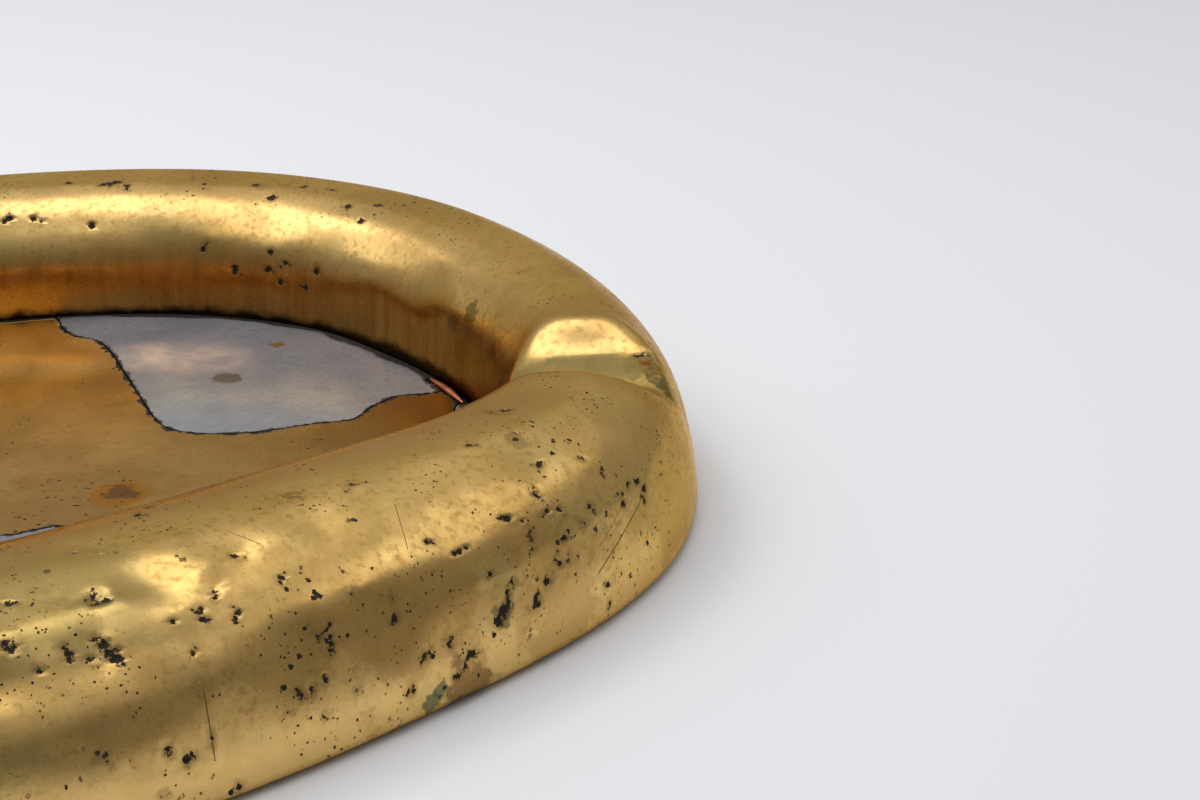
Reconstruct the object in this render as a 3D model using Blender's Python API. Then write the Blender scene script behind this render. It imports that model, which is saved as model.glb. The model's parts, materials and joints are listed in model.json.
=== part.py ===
"""A heavy cast brass ashtray: a thick rolled rim round a free-form plan, and a floor of mixed metals.

Lengths are in metres, and +Z is up. The ashtray stands on z = 0, and its origin is the middle of the
box round its foot.
"""

import math

import bpy
import bmesh
import numpy as np

# Overall size of the foot, and the height
LENGTH = 0.220
DEPTH = 0.206
RIM_HEIGHT = 0.025

# Plan of the rim: the proportions between its middle line's distances from the plan's centre, at each
# eighth of a turn, anticlockwise from +X. Then how wide the rim is, at each quarter.
RIM_REACHES = (58.5, 62.5, 74.5, 89.5, 122, 115.5, 70.5, 54.5)
RIM_WIDTHS = (0.024, 0.0285, 0.029, 0.0375)

# Section of the rim: straight walls below, the outer one leaning out to the foot, and a rolled top
INNER_WALL_HEIGHT = 0.0065
OUTER_WALL_HEIGHT = 0.012
FOOT_SPREAD = 0.005
LEDGE_WIDTH = 0.004

# Cigarette rests scooped across the rim: their places round the plan, how far each is turned from
# square to the rim, both in degrees, and their shape
REST_ANGLES = (-3.0, 188.0)
REST_TURNS = (9.0, 0.0)
REST_DEPTH = 0.0075
REST_HALF_WIDTH = 0.0091
REST_LIP = 0.0028

# Floor plate, and the shallow pockets that hold the other metals
FLOOR_HEIGHT = 0.005
FLOOR_THICKNESS = 0.003
POCKET_DEPTH = 0.0015
SEAT_GAP = 0.0003

# Copper bead, half sunk in the corner of floor and wall: its ends round the plan, in degrees
BEAD_ANGLES = (41.5, 29.0)
BEAD_INSET = 0.0011
BEAD_THICKNESS = 0.0014
BEAD_TIP_SHARE = 0.35

# Outlines of the patches, from the plan's centre and in proportion to the reaches. What passes the
# floor's edge is trimmed off there.
WHITE_BACK_OUTLINE = (
    (-28.0, 68.0), (-26.6, 57.5), (-23.5, 51.2), (-18.8, 48.6), (-15.5, 43.2), (-12.0, 35.5), (-8.2, 26.0),
    (-3.2, 15.2), (3.0, 12.3), (10.5, 12.8), (18.5, 16.0), (24.3, 17.8), (26.8, 22.8), (30.3, 27.0),
    (34.0, 27.8), (36.6, 28.9), (35.6, 31.3), (34.2, 33.9), (36.5, 40.0), (6.0, 78.0),
)
WHITE_FRONT_OUTLINE = (
    (-10.5, -20.5), (-19.5, -23.5), (-31.0, -21.0), (-44.0, -25.0), (-51.0, -37.0), (-49.0, -52.0),
    (-55.0, -78.0), (-28.0, -80.0), (-9.0, -70.0), (-11.5, -44.0), (-6.0, -31.0),
)
WHITE_RIGHT_OUTLINE = (
    (40.0, 23.8), (41.6, 23.8), (46.0, 22.5), (52.0, 16.0), (51.0, 5.0), (45.0, 4.0), (41.6, 9.0),
    (40.2, 15.0), (39.5, 20.5),
)

# Fineness of the curved surfaces
COLUMN_SPACING = 0.006
REST_COLUMN_SPACING = 0.0016
SECTION_STEPS = 16
OUTLINE_STEPS = 4
BEAD_STEPS = 12
CUT_MARGIN = 0.002
SHARP_ANGLE = math.radians(40)
FITTING_ROUNDS = 12

ledge_top = FLOOR_HEIGHT - FLOOR_THICKNESS - SEAT_GAP
pocket_floor = FLOOR_HEIGHT - POCKET_DEPTH


def round_the_plan(values, angle):
    """Smooth value at an angle, from values at equal steps of a full turn."""
    count = len(values)
    total = 0.0
    for index, value in enumerate(values):
        away = angle - 2 * math.pi * index / count
        weight = 1 + math.cos(count / 2 * away)
        for wave in range(1, count // 2):
            weight += 2 * math.cos(wave * away)
        total += value * weight / count
    return total


def middle_point(angle):
    """Point of the rim's middle line, from the plan's centre."""
    reach = round_the_plan(RIM_REACHES, angle)
    return plan_scale * reach * np.array((math.cos(angle), math.sin(angle)))


def outward(angle):
    """Unit vector square to the middle line, pointing out of the tray."""
    nudge = 1e-4
    along = middle_point(angle + nudge) - middle_point(angle - nudge)
    return np.array((along[1], -along[0])) / np.linalg.norm(along)


def turned(vector, angle):
    """A plan vector turned anticlockwise."""
    cosine, sine = math.cos(angle), math.sin(angle)
    return np.array((vector[0] * cosine - vector[1] * sine, vector[0] * sine + vector[1] * cosine))


def beside_middle(angle, offset):
    """Point beside the middle line, with a positive offset outside it."""
    return middle_point(angle) + offset * outward(angle)


def half_width(angle):
    return round_the_plan(RIM_WIDTHS, angle) / 2


def even_angles(count):
    return [2 * math.pi * index / count for index in range(count)]


def foot_box():
    """Lowest and highest corner of the foot's outline."""
    foot = [beside_middle(angle, half_width(angle) + FOOT_SPREAD) for angle in even_angles(360)]
    return np.min(foot, axis=0), np.max(foot, axis=0)


# The plan is scaled until its foot has the overall size, and moved until the foot's middle is the origin
plan_scale = np.full(2, LENGTH / sum(RIM_REACHES[::4]))
for attempt in range(FITTING_ROUNDS):
    lowest, highest = foot_box()
    plan_scale *= np.array((LENGTH, DEPTH)) / (highest - lowest)
lowest, highest = foot_box()
plan_shift = -(lowest + highest) / 2


def soft_minimum(first, second, softness):
    """The lower of two heights, with the edge between them rounded."""
    nearness = max(softness - abs(first - second), 0) / softness
    return min(first, second) - nearness ** 2 * softness / 4


def height_with_rests(point, height):
    """Height of the rim's skin over a plan point, lowered where a rest is scooped through it."""
    for degrees, turn in zip(REST_ANGLES, REST_TURNS):
        angle = math.radians(degrees)
        across = turned(outward(angle), math.radians(turn))
        away = point - middle_point(angle)
        off_axis = away @ np.array((-across[1], across[0]))
        if abs(off_axis) < 2 * REST_HALF_WIDTH and away @ across > -2 * half_width(angle):
            scoop = RIM_HEIGHT - REST_DEPTH * (1 - (off_axis / REST_HALF_WIDTH) ** 2)
            height = soft_minimum(height, scoop, REST_LIP)
    return height


def rim_section(angle):
    """Section of the rim, from the ledge's foot over the top to the outer foot, as (offset, height)."""
    half = half_width(angle)
    inner_spring = FLOOR_HEIGHT + INNER_WALL_HEIGHT
    section = [(-half - LEDGE_WIDTH, 0), (-half - LEDGE_WIDTH, ledge_top), (-half, ledge_top)]
    section.append((-half, (ledge_top + inner_spring) / 2))
    for step in range(SECTION_STEPS + 1):
        turn = math.pi * (1 - step / SECTION_STEPS)
        inside = math.cos(turn) < 0
        spring = inner_spring if inside else OUTER_WALL_HEIGHT
        height = spring + (RIM_HEIGHT - spring) * math.sin(turn)
        lean = 0 if inside else FOOT_SPREAD * (1 - height / RIM_HEIGHT)
        section.append((half * math.cos(turn) + lean, height))
    section.append((half + FOOT_SPREAD, 0))
    return section


def column_angles():
    """Angles of the rim's sections, set closer together at the rests."""
    angles = np.linspace(0, 2 * math.pi, 1441)
    points = np.array([middle_point(angle) for angle in angles])
    lengths = np.linalg.norm(np.diff(points, axis=0), axis=1)
    rests = [middle_point(math.radians(degrees)) for degrees in REST_ANGLES]
    nearest = np.min([np.linalg.norm(points - rest, axis=1) for rest in rests], axis=0)[1:]
    spacing = np.where(nearest < 2 * REST_HALF_WIDTH, REST_COLUMN_SPACING, COLUMN_SPACING)
    passed = np.concatenate(([0], np.cumsum(lengths / spacing)))
    count = math.ceil(passed[-1])
    return np.interp(np.arange(count) * passed[-1] / count, passed, angles)


def floor_edge(offset, count=120):
    """Outline of the floor where it meets the rim's inner wall, moved outward by the offset."""
    return [beside_middle(angle, offset - half_width(angle)) for angle in even_angles(count)]


def smooth_loop(corners):
    """Closed curve through a few corner points in the plan's proportions."""
    corners = np.array(corners) * plan_scale
    points = []
    for index in range(len(corners)):
        before, start, end, after = (corners[(index + step) % len(corners)] for step in (-1, 0, 1, 2))
        for step in range(OUTLINE_STEPS):
            t = step / OUTLINE_STEPS
            bend = (2 * before - 5 * start + 4 * end - after) * t ** 2
            twist = (3 * start - before - 3 * end + after) * t ** 3
            points.append((2 * start + (end - before) * t + bend + twist) / 2)
    return points


def grown(loop, distance):
    """A closed outline with every point moved outward by the distance."""
    loop = np.array(loop)
    along = np.roll(loop, -1, axis=0) - np.roll(loop, 1, axis=0)
    across = np.stack((along[:, 1], -along[:, 0]), axis=1)
    x, y = loop[:, 0], loop[:, 1]
    area = np.sum(x * np.roll(y, -1) - y * np.roll(x, -1))
    return loop + math.copysign(distance, area) * across / np.linalg.norm(across, axis=1)[:, None]


def clear_scene():
    for item in list(bpy.data.objects):
        bpy.data.objects.remove(item, do_unlink=True)


def new_collection(name):
    collection = bpy.data.collections.new(name)
    bpy.context.scene.collection.children.link(collection)
    return collection


def metal(name, colour, roughness):
    material = bpy.data.materials.new(name)
    material.use_nodes = True
    shader = material.node_tree.nodes["Principled BSDF"]
    shader.inputs["Base Color"].default_value = (*colour, 1)
    shader.inputs["Metallic"].default_value = 1
    shader.inputs["Roughness"].default_value = roughness
    material.diffuse_color = (*colour, 1)
    return material


def solid_from_curve(name, curve, height, collection):
    """Turns a curve into a welded mesh object at a height."""
    guide = bpy.data.objects.new(name + "_guide", curve)
    guide.location = (*plan_shift, height)
    bpy.context.scene.collection.objects.link(guide)
    bpy.context.view_layer.update()
    mesh = bpy.data.meshes.new_from_object(guide.evaluated_get(bpy.context.evaluated_depsgraph_get()))
    piece = bpy.data.objects.new(name, mesh)
    piece.matrix_world = guide.matrix_world
    bpy.data.objects.remove(guide, do_unlink=True)
    weld = bmesh.new()
    weld.from_mesh(mesh)
    bmesh.ops.remove_doubles(weld, verts=weld.verts, dist=1e-6)
    bmesh.ops.recalc_face_normals(weld, faces=weld.faces)
    weld.to_mesh(mesh)
    weld.free()
    collection.objects.link(piece)
    return piece


def slab(name, loop, bottom, top, collection):
    """A flat piece with the given outline, as a filled curve with a thickness."""
    curve = bpy.data.curves.new(name, "CURVE")
    curve.dimensions = "2D"
    curve.fill_mode = "BOTH"
    curve.extrude = (top - bottom) / 2
    spline = curve.splines.new("POLY")
    spline.points.add(len(loop) - 1)
    for point, (x, y) in zip(spline.points, loop):
        point.co = (x, y, 0, 1)
    spline.use_cyclic_u = True
    return solid_from_curve(name, curve, (bottom + top) / 2, collection)


def bead(name, grow, collection):
    """A spindle that follows the foot of the wall, grown all round by the given distance."""
    thickest = BEAD_THICKNESS / 2
    curve = bpy.data.curves.new(name, "CURVE")
    curve.dimensions = "3D"
    curve.bevel_depth = thickest
    curve.bevel_resolution = 2
    curve.use_fill_caps = True
    spline = curve.splines.new("POLY")
    spline.points.add(BEAD_STEPS)
    turn = math.radians(BEAD_ANGLES[1] - BEAD_ANGLES[0]) / BEAD_STEPS
    for step, point in enumerate(spline.points):
        angle = math.radians(BEAD_ANGLES[0]) + turn * step
        swell = BEAD_TIP_SHARE + (1 - BEAD_TIP_SHARE) * math.sin(math.pi * step / BEAD_STEPS)
        place = beside_middle(angle, -half_width(angle) - BEAD_INSET)
        along = turned(outward(angle), -math.pi / 2)
        end = {0: -1, BEAD_STEPS: 1}.get(step, 0)
        x, y = place + end * grow * along
        point.co = (x, y, 0, 1)
        point.radius = swell + grow / thickest
    return solid_from_curve(name, curve, FLOOR_HEIGHT, collection)


def as_cutter(tool):
    tool.hide_render = True
    tool.display_type = "WIRE"
    return tool


def boolean(piece, tool, operation):
    modifier = piece.modifiers.new(operation.title() + " " + tool.name, "BOOLEAN")
    modifier.operation = operation
    modifier.solver = "EXACT"
    modifier.object = tool


def rim(material, parts):
    """The cast ring, lofted through its sections round the plan."""
    mesh = bmesh.new()
    columns = []
    for angle in column_angles():
        column = []
        for offset, height in rim_section(angle):
            point = beside_middle(angle, offset)
            x, y = point + plan_shift
            column.append(mesh.verts.new((x, y, height_with_rests(point, height))))
        columns.append(column)
    for column, following in zip(columns, columns[1:] + columns[:1]):
        for index in range(len(column)):
            after = (index + 1) % len(column)
            mesh.faces.new((column[index], column[after], following[after], following[index]))
    bmesh.ops.recalc_face_normals(mesh, faces=mesh.faces)
    data = bpy.data.meshes.new("rim")
    mesh.to_mesh(data)
    mesh.free()
    data.shade_smooth()
    data.set_sharp_from_angle(angle=SHARP_ANGLE)
    data.materials.append(material)
    parts.objects.link(bpy.data.objects.new("rim", data))


def floor_plate(material, pockets, parts):
    """The brass floor, on the rim's ledge, with a pocket for each patch."""
    plate = slab("floor_plate", floor_edge(-SEAT_GAP), FLOOR_HEIGHT - FLOOR_THICKNESS, FLOOR_HEIGHT, parts)
    plate.data.materials.append(material)
    for pocket in pockets:
        boolean(plate, pocket, "DIFFERENCE")


def patch(name, corners, material, tools, parts, cutters):
    """A patch let into the floor, and the cutter of its pocket."""
    loop = smooth_loop(corners)
    piece = slab(name, loop, pocket_floor + SEAT_GAP, FLOOR_HEIGHT, parts)
    piece.data.materials.append(material)
    for tool, operation in tools:
        boolean(piece, tool, operation)
    above = FLOOR_HEIGHT + CUT_MARGIN
    return as_cutter(slab(name + "_pocket", grown(loop, SEAT_GAP), pocket_floor, above, cutters))


def copper_bead(material, parts, cutters):
    """The bead, and the cutter of the groove that holds its lower half."""
    piece = bead("copper_bead", 0, parts)
    piece.data.shade_smooth()
    piece.data.set_sharp_from_angle(angle=SHARP_ANGLE)
    piece.data.materials.append(material)
    return as_cutter(bead("copper_bead_groove", SEAT_GAP, cutters))


def build():
    clear_scene()
    parts = new_collection("ashtray")
    cutters = new_collection("cutters")
    brass = metal("aged_brass", (0.62, 0.42, 0.14), 0.3)
    floor_brass = metal("floor_brass", (0.50, 0.30, 0.10), 0.4)
    white_metal = metal("white_metal", (0.58, 0.57, 0.58), 0.35)
    copper = metal("copper", (0.62, 0.28, 0.18), 0.3)

    rim(brass, parts)
    groove = copper_bead(copper, parts, cutters)
    trim = as_cutter(slab("patch_trim", floor_edge(-SEAT_GAP), 0, RIM_HEIGHT, cutters))
    in_the_open = [(trim, "INTERSECT")]
    beside_the_bead = [(trim, "INTERSECT"), (groove, "DIFFERENCE")]
    pockets = [
        patch("white_metal_patch_back", WHITE_BACK_OUTLINE, white_metal, beside_the_bead, parts, cutters),
        patch("white_metal_patch_front", WHITE_FRONT_OUTLINE, white_metal, in_the_open, parts, cutters),
        patch("white_metal_patch_right", WHITE_RIGHT_OUTLINE, white_metal, beside_the_bead, parts, cutters),
    ]
    floor_plate(floor_brass, [*pockets, groove], parts)


build()
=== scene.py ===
"""The looks of the cast brass ashtray: hand-worked skin, casting pits, patina with painted reflections and
shade, and a soft studio.
"""

import json
import math
import random

import bpy
import numpy as np
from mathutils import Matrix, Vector, noise


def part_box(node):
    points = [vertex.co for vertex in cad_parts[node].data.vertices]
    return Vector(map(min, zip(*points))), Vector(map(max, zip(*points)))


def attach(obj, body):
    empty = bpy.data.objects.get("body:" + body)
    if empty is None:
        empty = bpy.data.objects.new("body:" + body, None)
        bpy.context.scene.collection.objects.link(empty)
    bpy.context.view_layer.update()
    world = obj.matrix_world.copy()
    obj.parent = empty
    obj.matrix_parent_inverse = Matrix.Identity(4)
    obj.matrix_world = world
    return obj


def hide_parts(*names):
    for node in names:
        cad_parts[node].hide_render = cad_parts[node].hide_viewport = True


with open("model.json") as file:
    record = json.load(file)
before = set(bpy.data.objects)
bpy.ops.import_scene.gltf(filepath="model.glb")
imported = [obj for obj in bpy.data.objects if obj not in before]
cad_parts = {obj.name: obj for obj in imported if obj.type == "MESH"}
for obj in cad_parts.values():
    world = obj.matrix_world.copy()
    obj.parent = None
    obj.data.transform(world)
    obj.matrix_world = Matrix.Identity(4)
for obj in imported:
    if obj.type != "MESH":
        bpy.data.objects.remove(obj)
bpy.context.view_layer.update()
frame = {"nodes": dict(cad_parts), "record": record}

MM = 0.001
FLOOR_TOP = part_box("floor_plate")[1].z
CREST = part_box("rim")[1].z

# The chamfer that sets the rim's foot back, and how crisp its edges stay
FOOT_CHAMFER = 1.4 * MM
FOOT_CREASE = 0.7

# How far the rim's skin is filled out before it is worked
FULLNESS = 0.6 * MM

# How much calmer the back of the ring is, where the back begins in depth and ends to the right, and how
# far round a rest the skin is left calm
CALM = 0.65
BACK_FROM = (35 * MM, 60 * MM)
BACK_TO = (70 * MM, 90 * MM)
REST_CALM = (8 * MM, 18 * MM)

# The worked skin: the most that it may be worked inward, its ripples, laid out on a ring of the mean
# radius, and how often the tool marks are smoothed
RELIEF_DEPTH = 2.0 * MM
RIPPLE_DEPTH = 0.16 * MM
RIPPLE_LENGTH = 24 * MM
RIPPLE_WIDTH = 7 * MM
MEAN_RADIUS = 85 * MM
SMOOTHINGS = 14

# Flats worked into it: x, y, z of the middle and depth in millimetres, lean in degrees
FLATS = (
    (26.5, -91.0, 14.6, 0.6, 18), (33.5, -87.0, 15.0, 0.6, 18), (39.0, -83.3, 15.6, 0.55, 16),
    (45.3, -78.6, 17.2, 0.35, 12), (51.5, -72.0, 18.6, 0.35, 6), (57.5, -62.0, 20.9, 0.35, 2),
    (64.5, -56.0, 20.6, 0.35, 0), (71.5, -50.0, 20.5, 0.35, -2), (30.5, -77.5, 22.9, 0.30, 7),
    (37.5, -73.0, 23.0, 0.32, 8), (23.0, -80.0, 23.0, 0.30, 7), (52.0, -76.0, 12.0, 0.3, 0),
    (66.0, -65.0, 9.0, 0.25, 4), (38.0, -86.0, 9.5, 0.3, 3), (80.0, -49.0, 9.0, 0.25, 0),
    (67.0, -58.5, 17.0, 0.3, -12), (60.0, -64.5, 15.5, 0.25, -7),
)

# Scattered flats beside those: how many, their depth in millimetres and lean in degrees
FLAT_COUNT = 60
SCATTERED_DEPTH = (0.03, 0.12)
SCATTERED_LEAN = (-4, 4)

# Where a flat fades out, how much skin round its middle gives it its direction, and its greatest depth
FLAT_REACH = (9 * MM, 17 * MM)
FLAT_HEART = 1.5 * MM
FLAT_DEEPEST = 1.3 * MM

# Dents in it: x, y, z, reach and depth, in millimetres
DENTS = (
    (45.0, -67.0, 23.3, 5.4, 0.8), (39.7, -71.0, 23.2, 2.2, 0.4), (53.0, -59.5, 23.6, 5.0, 0.45),
    (62.0, -52.0, 23.5, 5.0, 0.3), (86.0, -30.0, 22.5, 6.0, 0.3), (60.0, -66.5, 14.0, 6.0, 0.35),
    (48.5, -77.0, 15.0, 4.5, 0.3), (70.5, -58.5, 13.0, 6.5, 0.3), (90.0, -39.0, 12.0, 7.0, 0.3),
    (99.0, -20.0, 17.0, 6.0, 0.25), (30.0, -84.5, 19.0, 4.0, 0.25), (40.0, -77.5, 19.5, 4.0, 0.2),
)

# Scattered dents beside those
DENT_COUNT = 90
DENT_REACH = (2.5 * MM, 7 * MM)
DENT_DEPTH = 0.12 * MM

# Grooves along the crest: places along each, its half width and its depth, in millimetres
GROOVES = (
    (((20.0, -84.0, 22.6), (30.9, -79.3, 22.0), (35.8, -77.6, 21.5), (40.6, -75.4, 21.1)), 2.0, 0.1),
    (((40.3, -74.3, 21.6), (43.5, -72.0, 21.7), (46.6, -69.0, 21.7), (50.4, -65.9, 22.2),
      (56.0, -60.3, 22.5), (62.8, -55.1, 22.1), (71.6, -47.2, 21.8)), 2.0, 0.38),
)

# Spots on the rim, each over those before it: x, y, z and reach in millimetres, ragged share, strength
# and colour
SPOTS = (
    # Brown and green at the front of the foot
    (79.5, -53.0, 1.0, 4.2, 0.6, 0.75, (0.17, 0.09, 0.045)),
    (75.4, -57.4, 2.2, 1.4, 0.6, 0.8, (0.11, 0.14, 0.075)),
    (76.5, -55.9, 3.4, 1.2, 0.6, 0.8, (0.10, 0.13, 0.07)),
    # A round stain on the crest, with its lighter middle
    (84.9, -27.2, 23.8, 1.7, 0.5, 0.6, (0.24, 0.15, 0.05)),
    (84.9, -27.2, 23.8, 0.9, 0.3, 0.6, (0.34, 0.22, 0.08)),
    # Green and a dot of rust in the right rest, stains on the inner wall, and others on the front
    (101.6, 7.4, 19.8, 3.0, 0.7, 0.7, (0.17, 0.14, 0.05)),
    (102.0, 8.4, 20.1, 1.0, 0.5, 0.9, (0.22, 0.07, 0.02)),
    (76.1, 36.0, 18.4, 1.9, 0.6, 0.7, (0.12, 0.10, 0.045)),
    (72.9, 39.2, 14.9, 1.5, 0.6, 0.6, (0.12, 0.10, 0.045)),
    (83.7, -46.8, 8.9, 1.6, 0.8, 0.7, (0.06, 0.075, 0.05)),
    (58.5, -46.5, 24.0, 1.6, 0.8, 0.6, (0.15, 0.11, 0.04)),
    (40.2, -71.0, 23.2, 1.9, 0.9, 0.6, (0.14, 0.12, 0.05)),
    # A dark patch in the corner under the right rest
    (77.5, 8.5, 6.5, 5.0, 0.5, 1.0, (0.03, 0.018, 0.008)),
    # Broad brown patches: on the right end, left of the dented crest, in the right rest and at the front left
    # Partly patina and partly painted shade, which dims highlights and darkens hollows
    (105.0, -10.0, 13.0, 15.0, 0.5, 0.6, (0.42, 0.28, 0.10)),
    (34.0, -71.0, 23.0, 11.0, 0.4, 0.7, (0.34, 0.25, 0.09)),
    (86.0, 6.2, 19.6, 4.0, 0.4, 0.75, (0.30, 0.235, 0.09)),
    (91.5, 6.8, 19.6, 4.0, 0.4, 0.75, (0.30, 0.235, 0.09)),
    (97.0, 7.2, 19.4, 4.0, 0.4, 0.75, (0.28, 0.22, 0.08)),
    (104.3, 5.2, 17.4, 2.6, 0.8, 0.85, (0.10, 0.09, 0.04)),
    (23.0, -88.0, 17.0, 9.0, 0.7, 0.5, (0.42, 0.29, 0.10)),
    # Painted shade along the left groove, dimming the highlight streak beside it
    (29.0, -77.5, 22.8, 4.5, 0.5, 0.6, (0.30, 0.21, 0.07)),
    (35.3, -75.2, 22.8, 4.5, 0.5, 0.6, (0.30, 0.21, 0.07)),
    (31.0, -78.6, 22.2, 4.0, 0.5, 0.5, (0.28, 0.195, 0.065)),
    (37.0, -75.8, 22.0, 3.4, 0.5, 0.6, (0.28, 0.195, 0.065)),
    # Brown along the front wall and under the dented crest, partly patina and partly painted shade
    # The painted shade gives the valley its warm dark tone, dims the highlight under the crest and breaks up
    # the bright band's edge
    (73.0, -57.0, 13.0, 10.0, 0.9, 0.45, (0.38, 0.205, 0.055)),
    (46.5, -71.2, 20.7, 3.6, 0.5, 0.6, (0.36, 0.25, 0.09)),
    (52.5, -70.0, 19.5, 4.0, 1.0, 0.4, (0.42, 0.28, 0.10)),
    (67.0, -57.0, 19.5, 6.0, 1.0, 0.4, (0.42, 0.26, 0.08)),
    (77.0, -49.0, 18.5, 6.0, 1.0, 0.4, (0.42, 0.27, 0.085)),
    (85.5, -40.5, 18.0, 6.0, 1.0, 0.4, (0.42, 0.26, 0.08)),
    (60.0, -64.0, 18.5, 5.0, 1.0, 0.35, (0.42, 0.28, 0.09)),
    (90.0, -37.0, 10.0, 9.0, 0.9, 0.4, (0.38, 0.21, 0.06)),
    (58.0, -68.0, 15.0, 8.0, 0.9, 0.25, (0.38, 0.21, 0.055)),
    (45.0, -79.0, 14.0, 7.0, 0.9, 0.2, (0.40, 0.22, 0.06)),
)

# Scratches: the two ends of each and its width, in millimetres
SCRATCHES = (
    ((100.5, -21.9, 12.6), (95.2, -33.0, 7.9), 0.12), ((98.8, -24.0, 14.4), (95.3, -31.7, 10.8), 0.08),
    ((99.6, -23.0, 13.6), (96.4, -29.6, 10.9), 0.06), ((51.6, -75.7, 14.1), (52.6, -77.3, 6.1), 0.10),
    ((56.0, -57.5, 23.2), (52.0, -56.0, 24.2), 0.06), ((70.5, -45.0, 22.0), (72.5, -50.5, 19.0), 0.06),
)

# The far side of each rest, scooped: its two slopes, the knee where they meet and how soft it is, the way
# it is turned, how far back and down it starts, and how soft its edge is
REST_SLOPES = (math.radians(12), math.radians(50))
REST_KNEE = 7 * MM
REST_KNEE_TURN = 1.2 * MM
REST_TURN = math.radians(-4)
REST_START = 1.5 * MM
REST_DROP = 1 * MM
REST_EDGE = 0.8 * MM

# Where the scoop and its fill fade out, the most that they change, and the reach of the softened skin
REST_LONG = (7 * MM, 15 * MM)
REST_FILL = (2.2 * MM, 3.2 * MM)
REST_CHANGE = 6 * MM
REST_SOFT = (16 * MM, 26 * MM)

# The floor's rise towards the back: how high, its slope behind that, how broad, the place of its middle
# at the left and at the right, the stretch in which the one goes over into the other, and its limit
RISE = 0.7 * MM
RISE_SLOPE = 0.008
RISE_BREADTH = 10 * MM
RISE_PLACE = (46 * MM, 57 * MM)
RISE_SHIFT = (14 * MM, 32 * MM)
RISE_MOST = 2 * MM

# Size of the faces that the floor's sheets are cut into
SHEET_STEP = 2.5 * MM

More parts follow.
